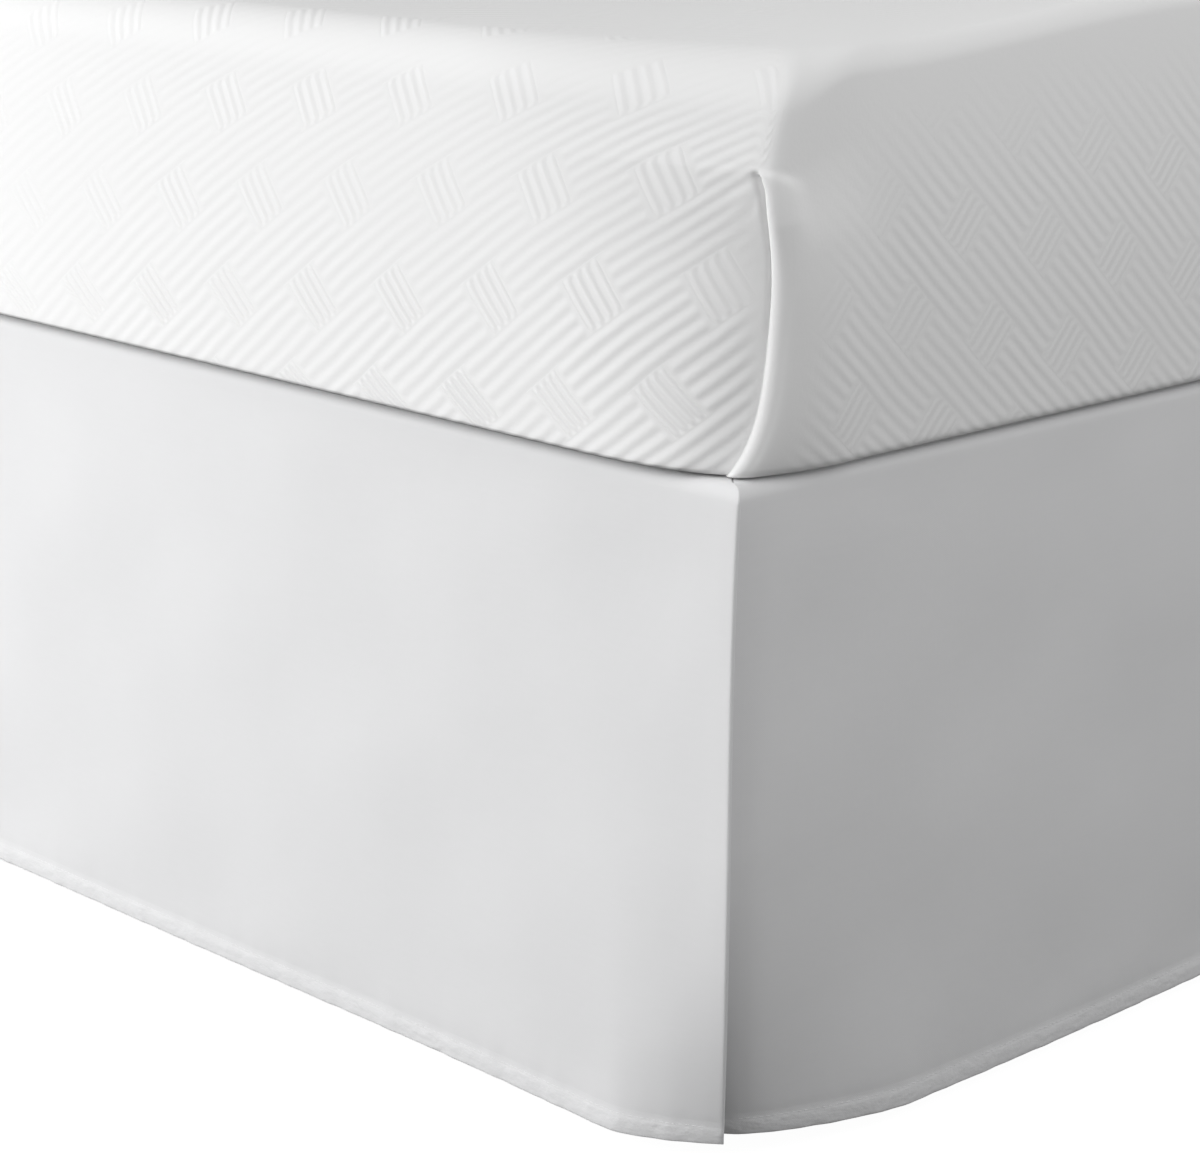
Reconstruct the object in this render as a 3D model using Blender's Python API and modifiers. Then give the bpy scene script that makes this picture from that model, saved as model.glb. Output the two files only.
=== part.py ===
"""Tailored bed skirt with split corners, on a plain queen bed.

Metres, +Z up. +X runs across the bed and -Y is its foot. The origin is on
the floor under the middle of the bed. The skirt is a deck that lies on the
bed's base and three flat drops that fall over the base's top edge. The foot
drop hangs in front of the two side drops at the foot corners, where the
skirt is split so that it clears a bed's corner posts.
"""

import math

import bmesh
import bpy
from mathutils import Matrix, Vector

# The bed: queen size, 60 by 80 in
BED_WIDTH = 1.524
BED_LENGTH = 2.032
GAP = 0.0003  # between pieces that touch

# The skirt
DROP = 0.381  # 15 in, from the top of the deck to the hem
HEM_ABOVE_FLOOR = 0.012
CLOTH = 0.0014
HEM_CLOTH = 0.0028  # two layers and their stitching
HEM_DEPTH = 0.012
HEM_STEP = 0.0006  # width of the step at a hem's stitched edge
SIDE_HEM = 0.008
FACE_INSET = 0.002  # from the bed's nominal size in to the drops' cloth
FLANGE = 0.045  # what each drop keeps on top of the base
SHOULDER = 0.008  # radius of the bend over the base's edge
WAVE = 0.0020  # how far the drops swing out and in at the hem
WAVE_LENGTH = 0.83
WAVE_START = {"foot": 1.46, "right": 1.90, "left": 0.40}  # phases in radians
FINER_WAVE = (0.5, 1.7, 1.1)  # the wave on top of it: its share, how much shorter it is, its phase
WAVE_RISE = 0.08  # how far in from a drop's ends the waves grow

# The split corners at the foot
LAP_FLARE = 0.0052  # how far the foot drop's top corner passes the side drop's face
FLARE_POWER = 5  # how soon that is lost further down
SIDE_TUCK = 0.0022  # how far the side drop's end is behind the foot drop
SHOULDER_TUCK = 0.5  # how much more it draws back for each metre in over the shoulder
TUCK_IN = 0.008  # how far that end turns in
TUCK_POWER = 6  # how close to the shoulder it starts to turn
TUCK_REACH = 0.030
DRAW_HEIGHT = 0.185  # the corners draw in below this height
DRAW_POWERS = (1.45, 1.6)  # how steeply the drawing in grows towards the end and the hem
FOOT_REACH = 0.080
SIDE_REACH = 0.128
FOOT_DRAW = (0.0245, 0.0235, 0.0060)  # along the drop, inwards and up, at the hem's corner
SIDE_DRAW = (0.0285, 0.0300, 0.0057)

# The bed's base, legs and mattress
BASE_CLEARANCE = 0.004  # from the middle of a drop's cloth in to the base
BASE_HEIGHT = 0.226
BASE_CORNER = 0.030
BASE_EDGE = 0.010
LEG_INSET = 0.10
LEG_TOP_RADIUS = 0.030
LEG_FOOT_RADIUS = 0.022
MATTRESS_OVERHANG = 0.010  # past the drops' cloth, at half the mattress's height
MATTRESS_SIDE = 0.214
MATTRESS_CROWN = 0.014
MATTRESS_CORNER = 0.067
MATTRESS_BOTTOM_EDGE = 0.006
MATTRESS_TOP_EDGE = 0.034
MATTRESS_BULGE = 0.003

# The fold of the mattress's cover round each foot corner
FOLD_SHIFT = 0.0170  # how far the fold stands off the corner's middle, towards the side
FOLD_RISE = 0.030  # the height over which it swings out to there
FOLD_TOP = 0.160
FOLD_FADE = 0.020
FOLD_THICK = 0.0045  # how far the folded edge stands out
FOLD_WIDTH = 0.005
FOOT_TURN = math.radians(32)  # how far the cloth has turned where it reaches the fold
SIDE_TURN = math.radians(58)  # and where it leaves it
FOOT_START = 0.105  # where the corner starts, in from the side face
SIDE_END = 0.088  # where it ends, in from the foot face

# The mattress's crown, ring by ring: (share of the outline's size, share of the crown's rise)
CROWN_RINGS = ((0.93, 0.45), (0.80, 0.78), (0.60, 0.94), (0.35, 1.0))

# How finely the shapes are divided
SHOULDER_STEPS = 4
DROP_ROWS = 10
ROW_POWER = 1.6  # over 1, the rows are closer together at the hem
FOOT_COLUMNS = 13
SIDE_COLUMNS = 17
COLUMN_POWER = 2.0  # and the columns at the ends
EDGE_STEPS = 4
SIDE_LEVELS = 9
CORNER_STEPS = 5
BASE_CORNER_STEPS = 5
BASE_EDGE_STEPS = 3
LEG_SIDES = 20
SHARP = math.radians(35)  # edges that turn by more aren't shaded smooth

FACE_X = BED_WIDTH / 2 - FACE_INSET
FACE_Y = -BED_LENGTH / 2 + FACE_INSET
HEAD_Y = BED_LENGTH / 2 - FACE_INSET
DECK_TOP = HEM_ABOVE_FLOOR + DROP
BASE_TOP = DECK_TOP - CLOTH - GAP
LEG_HEIGHT = BASE_TOP - BASE_HEIGHT


def clear_scene():
    for thing in list(bpy.data.objects):
        bpy.data.objects.remove(thing, do_unlink=True)


def material(name, colour, roughness):
    made = bpy.data.materials.new(name)
    made.use_nodes = True
    shader = made.node_tree.nodes["Principled BSDF"]
    shader.inputs["Base Color"].default_value = (*colour, 1.0)
    shader.inputs["Roughness"].default_value = roughness
    shader.inputs["Metallic"].default_value = 0.0
    return made


def add_object(name, bm, finish, collection, location=(0, 0, 0)):
    mesh = bpy.data.meshes.new(name)
    bm.to_mesh(mesh)
    bm.free()
    mesh.materials.append(finish)
    mesh.shade_smooth()
    mesh.set_sharp_from_angle(angle=SHARP)
    made = bpy.data.objects.new(name, mesh)
    made.location = location
    collection.objects.link(made)
    return made


def spread(first, last, steps, power):
    """Numbers from first to last, closer together at first where power is over 1."""
    return [first + (last - first) * (k / steps) ** power for k in range(steps + 1)]


# ---- The drops ----


def section():
    """(inset, height above the hem) of a drop's rows, from its flange down."""
    top = DROP - CLOTH / 2
    rows = [(FLANGE, top), ((FLANGE + SHOULDER) / 2, top)]
    for k in range(SHOULDER_STEPS + 1):
        turn = math.pi / 2 * k / SHOULDER_STEPS
        inset = SHOULDER * (1 - math.sin(turn))
        rows.append((inset, top - SHOULDER * (1 - math.cos(turn))))
    heights = spread(HEM_DEPTH + HEM_STEP, top - SHOULDER, DROP_ROWS, ROW_POWER)
    rows += [(0.0, height) for height in reversed(heights[:-1])]
    rows += [(0.0, HEM_DEPTH), (0.0, 0.0)]
    return rows


def end_distances(length, columns):
    """Distances from a drop's hemmed end, closest together near it."""
    return [0.0, SIDE_HEM] + spread(SIDE_HEM + HEM_STEP, length, columns, COLUMN_POWER)


def drawn_in(reach, distance, height):
    """The share of a split corner's draw-in that a point of a drop takes."""
    if distance >= reach or height >= DRAW_HEIGHT:
        return 0.0
    along, down = DRAW_POWERS
    return (1 - distance / reach) ** along * (1 - height / DRAW_HEIGHT) ** down


def swing(drop, run, height, distance):
    """How far a drop's soft waves carry it outwards, run metres along it."""
    turn = 2 * math.pi * run / WAVE_LENGTH + WAVE_START[drop]
    share, shorter, start = FINER_WAVE
    shape = math.sin(turn) + share * math.sin(shorter * turn + start)
    ends = 1 - math.exp(-distance / WAVE_RISE)
    return WAVE * shape * ends * (1 - height / DROP)


def foot_point(side, distance, inset, height):
    """A point of the foot drop, distance metres in from its end on that side."""
    on_face = max(0.0, 1 - inset / SHOULDER)
    here = FACE_X - inset + LAP_FLARE * on_face * (height / DROP) ** FLARE_POWER
    along, inwards, up = FOOT_DRAW
    share = drawn_in(FOOT_REACH, distance, height)
    slack = drawn_in(3 * FOOT_REACH, distance, height)
    x = side * (here - distance * here / FACE_X - along * slack)
    y = FACE_Y + inset + inwards * share
    if inset == 0:
        y -= swing("foot", x, height, distance)
    return Vector((x, y, HEM_ABOVE_FLOOR + height + up * share))


def side_point(side, distance, inset, height):
    """A point of a side drop, distance metres from its foot end."""
    tuck = SIDE_TUCK + SHOULDER_TUCK * min(inset, SHOULDER)
    start = FACE_Y + tuck + inset
    full = HEAD_Y - FACE_Y - SIDE_TUCK
    along, inwards, up = SIDE_DRAW
    share = drawn_in(SIDE_REACH, distance, height)
    slack = drawn_in(3 * SIDE_REACH, distance, height)
    y = start + distance * (HEAD_Y - start) / full + along * slack
    below = max(0.0, 1 - (height / (DROP - SHOULDER)) ** TUCK_POWER)
    tucked = TUCK_IN * below * max(0.0, 1 - distance / TUCK_REACH) ** 2
    x = FACE_X - inset - tucked - inwards * share
    if inset == 0:
        x += swing("right" if side > 0 else "left", y, height, distance)
    return Vector((side * x, y, HEM_ABOVE_FLOOR + height + up * share))


def drop_sheet(name, points, distances, rows, finish, collection):
    """A drop from its grid of points: a sheet, thicker in its hems.

    points[row][column] is the middle of the cloth, and distances holds each
    column's distance from the nearer hemmed end.
    """
    across, down = len(distances), len(rows)
    bm = bmesh.new()
    bmesh.ops.create_grid(bm, x_segments=across - 1, y_segments=down - 1, size=0.5)
    hems = []
    for vertex in bm.verts:
        column = round((vertex.co.x + 0.5) * (across - 1))
        row = round((0.5 - vertex.co.y) * (down - 1))
        vertex.co = points[row][column]
        inset, height = rows[row]
        hemmed = height <= HEM_DEPTH or distances[column] <= SIDE_HEM
        if inset == 0 and hemmed and height < DROP - SHOULDER - CLOTH:
            hems.append(vertex.index)
    made = add_object(name, bm, finish, collection)
    group = made.vertex_groups.new(name="hem")
    group.add(hems, 1.0, "REPLACE")
    sheet = made.modifiers.new("cloth", "SOLIDIFY")
    sheet.thickness = HEM_CLOTH
    sheet.offset = 0.0
    sheet.vertex_group = group.name
    sheet.thickness_vertex_group = CLOTH / HEM_CLOTH
    return made


def make_foot_drop(finish, collection):
    half = end_distances(FACE_X, FOOT_COLUMNS)
    columns = [(-1, d) for d in half] + [(1, d) for d in reversed(half[:-1])]
    rows = section()
    points = [[foot_point(*column, *row) for column in columns] for row in rows]
    distances = [distance for _, distance in columns]
    return drop_sheet("drop_foot", points, distances, rows, finish, collection)


def make_side_drop(name, side, finish, collection):
    full = HEAD_Y - FACE_Y - SIDE_TUCK
    columns = end_distances(full - SIDE_HEM - HEM_STEP, SIDE_COLUMNS)
    columns += [full - SIDE_HEM, full]
    if side > 0:
        order = columns
    else:
        order = list(reversed(columns))
    rows = section()
    points = [[side_point(side, distance, *row) for distance in order] for row in rows]
    distances = [min(distance, full - distance) for distance in order]
    return drop_sheet(name, points, distances, rows, finish, collection)


# ---- The deck and the bed ----


def level_edges(bm, height):
    """The edges that lie level at a height."""
    return [e for e in bm.edges if all(abs(v.co.z - height) < 1e-6 for v in e.verts)]


def upright_edges(bm):
    """The edges that stand straight up."""
    return [e for e in bm.edges if abs(e.verts[0].co.z - e.verts[1].co.z) > 1e-4]


def rounded_block(width, length, height, corner, corner_steps):
    """A block with its upright edges rounded, standing on its own origin."""
    bm = bmesh.new()
    place = Matrix.Translation((0, 0, height / 2)) @ Matrix.Diagonal((width, length, height, 1))
    bmesh.ops.create_cube(bm, size=1.0, matrix=place)
    bmesh.ops.bevel(
        bm, geom=upright_edges(bm), offset=corner, segments=corner_steps, profile=0.5, affect="EDGES"
    )
    return bm


def round_over(bm, height, radius, steps):
    """Round the edge all round a block at a height."""
    bmesh.ops.bevel(
        bm, geom=level_edges(bm, height), offset=radius, segments=steps, profile=0.5, affect="EDGES"
    )


def make_deck(finish, collection):
    """The panel that lies on the base between the drops' flanges."""
    half_width = FACE_X - FLANGE - GAP
    foot = FACE_Y + FLANGE + GAP
    bm = bmesh.new()
    bmesh.ops.create_grid(bm, x_segments=2, y_segments=2, size=0.5)
    bmesh.ops.scale(bm, vec=(2 * half_width, HEAD_Y - foot, 1), verts=bm.verts)
    middle = (0, (foot + HEAD_Y) / 2, DECK_TOP - CLOTH / 2)
    deck = add_object("deck", bm, finish, collection, middle)
    sheet = deck.modifiers.new("cloth", "SOLIDIFY")
    sheet.thickness = CLOTH
    sheet.offset = 0.0
    return deck


def make_base(finish, collection):
    width = 2 * (FACE_X - BASE_CLEARANCE)
    length = 2 * (-FACE_Y - BASE_CLEARANCE)
    bm = rounded_block(width, length, BASE_HEIGHT, BASE_CORNER, BASE_CORNER_STEPS)
    round_over(bm, BASE_HEIGHT, BASE_EDGE, BASE_EDGE_STEPS)
    round_over(bm, 0.0, BASE_EDGE, BASE_EDGE_STEPS)
    return add_object("bed_base", bm, finish, collection, (0, 0, LEG_HEIGHT))


def make_leg(name, x, y, finish, collection):
    """A tapered leg, just clear of the base above it."""
    height = LEG_HEIGHT - GAP
    bm = bmesh.new()
    bmesh.ops.create_cone(
        bm,
        cap_ends=True,
        segments=LEG_SIDES,
        radius1=LEG_FOOT_RADIUS,
        radius2=LEG_TOP_RADIUS,
        depth=height,
    )
    return add_object(name, bm, finish, collection, (x, y, height / 2))


def make_legs(finish, collection):
    x = FACE_X - LEG_INSET
    y = -FACE_Y - LEG_INSET
    for end, place in (("foot", -y), ("middle", 0.0), ("head", y)):
        make_leg(f"leg_{end}_left", -x, place, finish, collection)
        make_leg(f"leg_{end}_right", x, place, finish, collection)


# ---- The mattress ----


def curve(first, bend, last, steps):
    """Points of a curve that leaves first and reaches last towards bend."""
    points = []
    for k in range(steps + 1):
        t = k / steps
        points.append(first * (1 - t) ** 2 + bend * 2 * t * (1 - t) + last * t**2)
    return points


def round_corner(turn):
    """Where a rounded corner has turned by turn: how far in from the side and foot faces."""
    return MATTRESS_CORNER * Vector((1 - math.sin(turn), 1 - math.cos(turn)))


def fold_place(level):
    """Where the fold crosses a foot corner at a level, in the same coordinates."""
    shift = FOLD_SHIFT * (1 - math.exp(-level / FOLD_RISE))
    return round_corner(math.pi / 4 + math.asin(shift / MATTRESS_CORNER))


def fold_height(level):
    """How far the folded edge stands out of the corner at a level."""
    return FOLD_THICK * min(1.0, max(0.0, (FOLD_TOP - level) / FOLD_FADE))


def folded_corner(level):
    """A foot corner of the mattress, as points (in from the side face, in from the foot face)."""
    fold = fold_place(level)
    out = Vector((-1, -1)).normalized() * fold_height(level)
    foot_bend = Vector((fold.x + fold.y / math.tan(FOOT_TURN), 0))
    side_bend = Vector((0, fold.y + fold.x * math.tan(SIDE_TURN)))
    foot_part = curve(Vector((FOOT_START, 0)), foot_bend, fold, CORNER_STEPS)
    side_part = curve(fold, side_bend, Vector((0, SIDE_END)), CORNER_STEPS)
    from_foot = (foot_bend - fold).normalized() * FOLD_WIDTH
    from_side = (side_bend - fold).normalized() * FOLD_WIDTH
    ridge = [fold + from_foot, fold + out, fold + from_side]
    return foot_part[:-1] + ridge + side_part[1:]


def plain_corner():
    """A head corner of the mattress, in the same coordinates as a foot corner."""
    return [round_corner(math.pi / 2 * k / CORNER_STEPS) for k in range(CORNER_STEPS + 1)]


def mattress_outline(level, inset):
    """The mattress's outline at a level, drawn in by inset, once round from the foot's right."""
    half_x = FACE_X + MATTRESS_OVERHANG
    half_y = -FACE_Y + MATTRESS_OVERHANG
    drawn = inset + MATTRESS_BULGE * (1 - math.sin(math.pi * level / MATTRESS_SIDE))
    foot = folded_corner(level)
    head = plain_corner()
    around = [(half_x - p.x, p.y - half_y) for p in foot]
    around += [(half_x - p.x, half_y - p.y) for p in reversed(head)]
    around += [(p.x - half_x, half_y - p.y) for p in head]
    around += [(p.x - half_x, p.y - half_y) for p in reversed(foot)]
    scale_x = 1 - drawn / half_x
    scale_y = 1 - drawn / half_y
    return [(x * scale_x, y * scale_y, level) for x, y in around]


def mattress_rings():
    """The mattress's outlines from its bottom, up its sides and over its crown."""
    rings = []
    for k in range(EDGE_STEPS + 1):
        turn = math.pi / 2 * k / EDGE_STEPS
        level = MATTRESS_BOTTOM_EDGE * (1 - math.cos(turn))
        rings.append((level, MATTRESS_BOTTOM_EDGE * (1 - math.sin(turn))))
    top = MATTRESS_SIDE - MATTRESS_TOP_EDGE
    climb = top - MATTRESS_BOTTOM_EDGE
    for k in range(1, SIDE_LEVELS):
        rings.append((MATTRESS_BOTTOM_EDGE + climb * k / SIDE_LEVELS, 0.0))
    for k in range(EDGE_STEPS + 1):
        turn = math.pi / 2 * k / EDGE_STEPS
        level = top + MATTRESS_TOP_EDGE * math.sin(turn)
        rings.append((level, MATTRESS_TOP_EDGE * (1 - math.cos(turn))))
    outlines = [mattress_outline(level, inset) for level, inset in rings]
    for size, rise in CROWN_RINGS:
        raised = MATTRESS_SIDE + rise * MATTRESS_CROWN
        outlines.append([(x * size, y * size, raised) for x, y, _ in outlines[-1]])
    return outlines


def loft(rings):
    """A closed solid through rings of points, capped at both ends."""
    bm = bmesh.new()
    rows = [[bm.verts.new(point) for point in ring] for ring in rings]
    count = len(rings[0])
    for lower, upper in zip(rows, rows[1:]):
        for k in range(count):
            after = (k + 1) % count
            bm.faces.new((lower[k], lower[after], upper[after], upper[k]))
    bm.faces.new(reversed(rows[0]))
    bm.faces.new(rows[-1])
    return bm


def make_mattress(finish, collection):
    """The mattress: soft sides, a low crown, and its cover folded at the foot corners."""
    bm = loft(mattress_rings())
    return add_object("mattress", bm, finish, collection, (0, 0, DECK_TOP + GAP))


def main():
    clear_scene()
    collection = bpy.data.collections.new("bed_skirt_on_bed")
    bpy.context.scene.collection.children.link(collection)
    skirt_cloth = material("skirt_cloth", (0.80, 0.80, 0.80), 0.85)
    base_cloth = material("base_cloth", (0.66, 0.66, 0.65), 0.90)
    leg_wood = material("leg_wood", (0.36, 0.22, 0.12), 0.50)
    mattress_cloth = material("mattress_cloth", (0.82, 0.82, 0.81), 0.90)
    make_foot_drop(skirt_cloth, collection)
    make_side_drop("drop_left", -1, skirt_cloth, collection)
    make_side_drop("drop_right", 1, skirt_cloth, collection)
    make_deck(skirt_cloth, collection)
    make_base(base_cloth, collection)
    make_legs(leg_wood, collection)
    make_mattress(mattress_cloth, collection)


main()
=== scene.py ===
"""Looks of the bed skirt on its bed: cloth, seams, quilting, wood, light and camera.

Metres, +Z up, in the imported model's frame: +X runs across the bed, -Y is its
foot, and the origin is on the floor under its middle. The drops and the
mattress follow the same named sizes as their solids, on finer grids.
"""

import math

import bpy
import numpy as np
from mathutils import Matrix, Vector


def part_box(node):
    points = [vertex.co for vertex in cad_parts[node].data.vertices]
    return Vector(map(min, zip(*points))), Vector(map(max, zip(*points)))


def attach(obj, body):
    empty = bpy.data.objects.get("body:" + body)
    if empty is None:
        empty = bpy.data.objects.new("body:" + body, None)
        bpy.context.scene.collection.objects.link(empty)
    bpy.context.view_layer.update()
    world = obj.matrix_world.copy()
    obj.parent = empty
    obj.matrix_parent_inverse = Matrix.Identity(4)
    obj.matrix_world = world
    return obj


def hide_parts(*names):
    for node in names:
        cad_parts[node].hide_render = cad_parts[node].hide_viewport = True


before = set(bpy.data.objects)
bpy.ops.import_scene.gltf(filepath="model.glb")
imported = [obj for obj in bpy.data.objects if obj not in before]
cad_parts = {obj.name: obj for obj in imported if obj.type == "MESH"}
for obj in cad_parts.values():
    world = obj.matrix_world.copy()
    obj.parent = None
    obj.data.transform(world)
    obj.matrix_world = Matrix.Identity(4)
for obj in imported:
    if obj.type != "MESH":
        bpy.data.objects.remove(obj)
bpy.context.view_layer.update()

# The skirt, as in its solids
DECK_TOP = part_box("deck")[1].z
HEM_ABOVE_FLOOR = 0.012
DROP = DECK_TOP - HEM_ABOVE_FLOOR
FACE_X = 0.760  # the middle of the side drops' cloth
FACE_Y = -1.014  # and of the foot drop's
HEAD_Y = 1.014
FULL_SIDE = 2.0258  # a side drop's length
CLOTH = 0.0014
HEM_CLOTH = 0.0028
HEM_DEPTH = 0.012
SIDE_HEM = 0.008
FLANGE = 0.045
SHOULDER = 0.008
WAVE = 0.0020
WAVE_LENGTH = 0.83
WAVE_START = {"foot": 1.46, "right": 1.90, "left": 0.40}
SECOND_WAVE = (1.7, 1.1, 0.5)  # (times faster, phase, share)
WAVE_CALM = 0.08  # the way in from a drop's ends over which it grows
LAP_FLARE = 0.0052  # how far the foot drop laps the side drops, at the shoulder
LAP_FADES = (3, 5)  # its powers round the shoulder and down the drop
SIDE_TUCK = 0.0022
SHOULDER_GAP = 0.0004
TUCK_IN = 0.008  # how much further in a side drop's foot end lies
TUCK_REACH = 0.030
TUCK_FADE = 6
DRAW_HEIGHT = 0.185  # a split corner's draw-in: up from the hem, and along each drop
FOOT_REACH = 0.080
SIDE_REACH = 0.128
DRAW_FADES = (1.45, 1.6)  # its powers along a drop and up it
FOOT_DRAW = (0.0245, 0.0235, 0.0060)  # how far it goes along the drop, inwards and up
SIDE_DRAW = (0.0285, 0.0300, 0.0057)
SLACK = 3  # how many times further along the drop its own shift reaches
FLUSH = 0.8  # the share of a hem's extra thickness that lies on its inside
HEM_EASE = 0.004  # over how much that thickness ends, and an end hem's
END_EASE = 0.012

# How a drop's grid is spaced, as (where a run ends, its step), closest at the stitching
FLANGE_STEP = 0.009
FACE_START = 0.003  # below the shoulder
FACE_RUNS = ((0.060, 0.0065), (0.024, 0.004), (0.0145, 0.0016), (0.0095, 0.0005), (0.003, 0.0013))
END_RUNS = ((0.0062, 0.0016), (0.0105, 0.0006), (0.04, 0.005))
ALONG_STEP = 0.0047

# What shows on the cloth from close by
HEM_GROOVE = 0.00032  # how far the stitching draws the cloth in
GROOVE_ABOVE = 0.0060  # its width above the stitching, and below it
GROOVE_BELOW = 0.0030
HEM_PUFF = 0.00015
PUCKER = 0.00042
PUCKER_FADE = 0.012  # how far above the stitching they reach
DENTS_FROM = (0.05, 0.05, 0.04)  # how far in from its top, ends and hem they are full
DENTS = (  # (wavelength along, wavelength down, phase, height) of the drops' soft dents
    (0.310, 0.420, 0.4, 0.00060),
    (0.190, -0.270, 2.1, 0.00045),
    (0.470, 0.160, 4.0, 0.00040),
    (0.115, 0.350, 1.2, 0.00022),
    (0.250, -0.110, 5.3, 0.00018),
)
PUCKERS = (  # (wavelength, phase, share) of the ripples along a hem
    (0.019, 0.3, 0.30),
    (0.031, 1.9, 0.40),
    (0.067, 4.4, 0.30),
)
STITCH_PITCH = 0.0040
STITCH_LENGTH = 0.0031
STITCH_FULL = (0.2, 0.8)  # where along it a stitch is full
STITCH_PROUD = 0.3  # how far its middle stands out, in thread radii
THREAD = 0.00016

# The mattress, as in its solid
MATTRESS_LOW = DECK_TOP + 0.0003
HALF_X = 0.770
HALF_Y = 1.024
MATTRESS_SIDE = 0.214
CROWN = 0.016
CORNER = 0.067
BOTTOM_EDGE = 0.006
FOOT_UNDER = 0.018  # how far its foot edge curves in under it
UNDER_POWER = 1.6
UNDER_RINGS = 4
TOP_EDGE = 0.030  # radius of the roll over its foot and head
SIDE_TOP_EDGE = 0.015  # and over its sides
SIDE_RISE = 0.0170  # how much higher that gets between the corners
RISE_OVER = (0.05, 0.34)  # the ways from a corner where it starts and ends to rise
ROLL_FROM = 0.090  # the level from which the sides stretch for it
BULGE = 0.003
SIDE_LEAN = 0.004  # how far the top of a side leans in
LEAN_FROM = 0.090
LEAN_OVER = 0.08  # the way from its ends over which that starts
FOOT_OVER = 0.04  # the way from the fold over which the foot's edge starts
FOLD_SOFT = (0.0015, 0.0055)  # how much the fold's turn is rounded, low down and by its top
SOFT_REACH = 0.06  # the way over which that fades
AHEAD = 0.0001  # the least way over which an outline's direction is taken
FOLD_SHIFT = 0.0220  # how far round the corner the fold gets, and over what height
FOLD_RISE = 0.0260
FOLD_TOP = 0.157
FOLD_BOW = (0.0036, 0.112, 0.030)  # its bow towards the head: how far, at what level, over what
FOLD_SWEEP = 0.30  # how fast the corner moves along the side above it
FOOT_START = (0.105, 0.200)  # how far in the foot's turn starts, low down and by the fold's top
SIDE_END = 0.088
CROWN_POWER = 7.0

# How its skin is spaced. NEAR_FOLD holds (from, to, step) in millimetres
NEAR_FOLD = ((0, 5, 0.5), (5, 12, 1), (12, 30, 2.5), (30, 66, 4), (66, 160, 8))
HEAD_CORNER = (0.110, 0.075, 0.055, 0.045, 0.036, 0.027, 0.018, 0.009, 0.0)  # ways from its middle
AROUND_STEP = 0.016
RING_STEP = 0.004
FINE_STEP = 0.0014
FINE_FROM = (0.030, 0.006)  # from how far below the fold's top to how far above it
EDGE_RINGS = 7
ROLL_RINGS = 15
ROLL_END = 83  # degrees
CROWN_RUNS = ((0.90, 0.015), (0.06, 0.06))  # of the crown's rings, as shares of its rim
RIM_SIZE = 0.985
UNDER_SIZES = (0.06, 0.9)

# The fold's finer shape
FOOT_TURN = (math.radians(42), math.radians(19))  # the foot's turn at it, low down and by its top
SIDE_TURN = (math.radians(67), math.radians(80))  # and the side's
HIGH_FROM = 0.060  # from here up the corner gets squarer
HIGH_FOLD = (0.004, 0.028)  # how far in from the side and the foot its top lies
BEAD = 0.0036  # how far the folded edge reaches towards the foot
BEAD_ROUND = 0.0065  # and over how much of the side it is rounded
BEAD_HEIGHT = (0.0060, 0.0082)  # by its top and lower down
BEAD_START = 0.026  # the first stretch down from its top, where it grows by this power
BEAD_POWER = 0.45
BEAD_TAIL = (0.009, 0.017)  # what it sinks back over, at its top and lower down
SETTLED_TAIL = 0.080
BEAD_SETTLES = 0.92  # the share of it that gets that longer tail
BEAD_NARROW = (0.008, 0.60)  # the first stretch where it is narrower, and how narrow
BEAD_GROWS = (0.015, 0.042, 0.070)  # the stretches over which it widens, settles and rises
BEAD_END = 0.011  # its top's last stretch, which hooks towards the foot
BEAD_HOOK = 0.006
CREASE = 0.0022
CREASE_WIDTH = (0.0016, 0.0045)  # low down and at the fold's top
CREASE_WIDENS = 0.014
CREASE_FROM = 0.055
CREASE_GROWS = 0.050
CREASE_DEEPER = (1.6, 0.020)  # how much deeper it is at the fold's top, and over how much
CREASE_SIDE = 0.0004  # over how much it sinks beside the folded edge
CREASE_END = 0.003  # and over how much it ends below the fold's top
TOP_PUCKER = (0.0002, 11.0, 0.018, 0.009)  # the fan at the top: height, turns, distance, spread
TOP_PUCKER_START = 0.006
CORNER_SOFT = 0.013  # how much the corner above it is rounded
SOFTENING = np.linspace(-1, 1, 15)  # where an outline is averaged to soften it, and the weights
SOFT_WEIGHTS = np.cos(SOFTENING * math.pi / 2) ** 2
SOFT_WEIGHTS = SOFT_WEIGHTS / np.sum(SOFT_WEIGHTS)

# Quilting: bands of long ribs, cut across by short blocks of cross ribs
RIB = 0.0079
CROSS_RIB = 0.0064
BAND = 4 * RIB
REPEAT = 0.120
BLOCK = 4 * CROSS_RIB
QUILT_SHIFT = (0.0115, 0.0253)
FOOT_ACROSS = (0.70, 0.50)  # how fast the two quilting coordinates run across the foot face
SLANT = 0.155  # how far its cross ribs lean, most of it low down
SLANT_RISE = 0.135
PACK = (0.645, 4.97)  # how its long ribs crowd together upwards, as a line and a cube
PACK_TOP = 0.18
PULLED = (0.011, 0.12)  # how much the fold pulls its long ribs up, and over what way
SIDE_RIBS = math.radians(-42)
RIB_HEIGHT = 0.0009
RIB_STRENGTH = 0.50
FOOT_RIBS = ((0.86, 0.42), (1.75, 0.98))  # how full its two kinds of ribs are, low down and high up
FOOT_RIBS_GROW = (0.020, 0.130)  # the level from which they grow, and over how much
FOOT_FADES = (  # (way from the fold, how much of each shows there)
    (0.09, 1.45, 0.95),
    (0.16, 0.86, 0.90),
    (0.42, 0.95, 0.90),
    (0.60, 0.50, 0.55),
    (0.75, 0.38, 0.45),
)
ROLL_SHOWN = (0.168, 0.022)  # the level where the top's roll starts, and over how much
ROLL_FULL = (0.5, 1.0)  # how much of long and cross ribs it keeps
SIDE_FULL = (0.55, 0.50)  # how full the two are on the sides
TOP_FULL = (0.40, 0.70)  # and on the top
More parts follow.
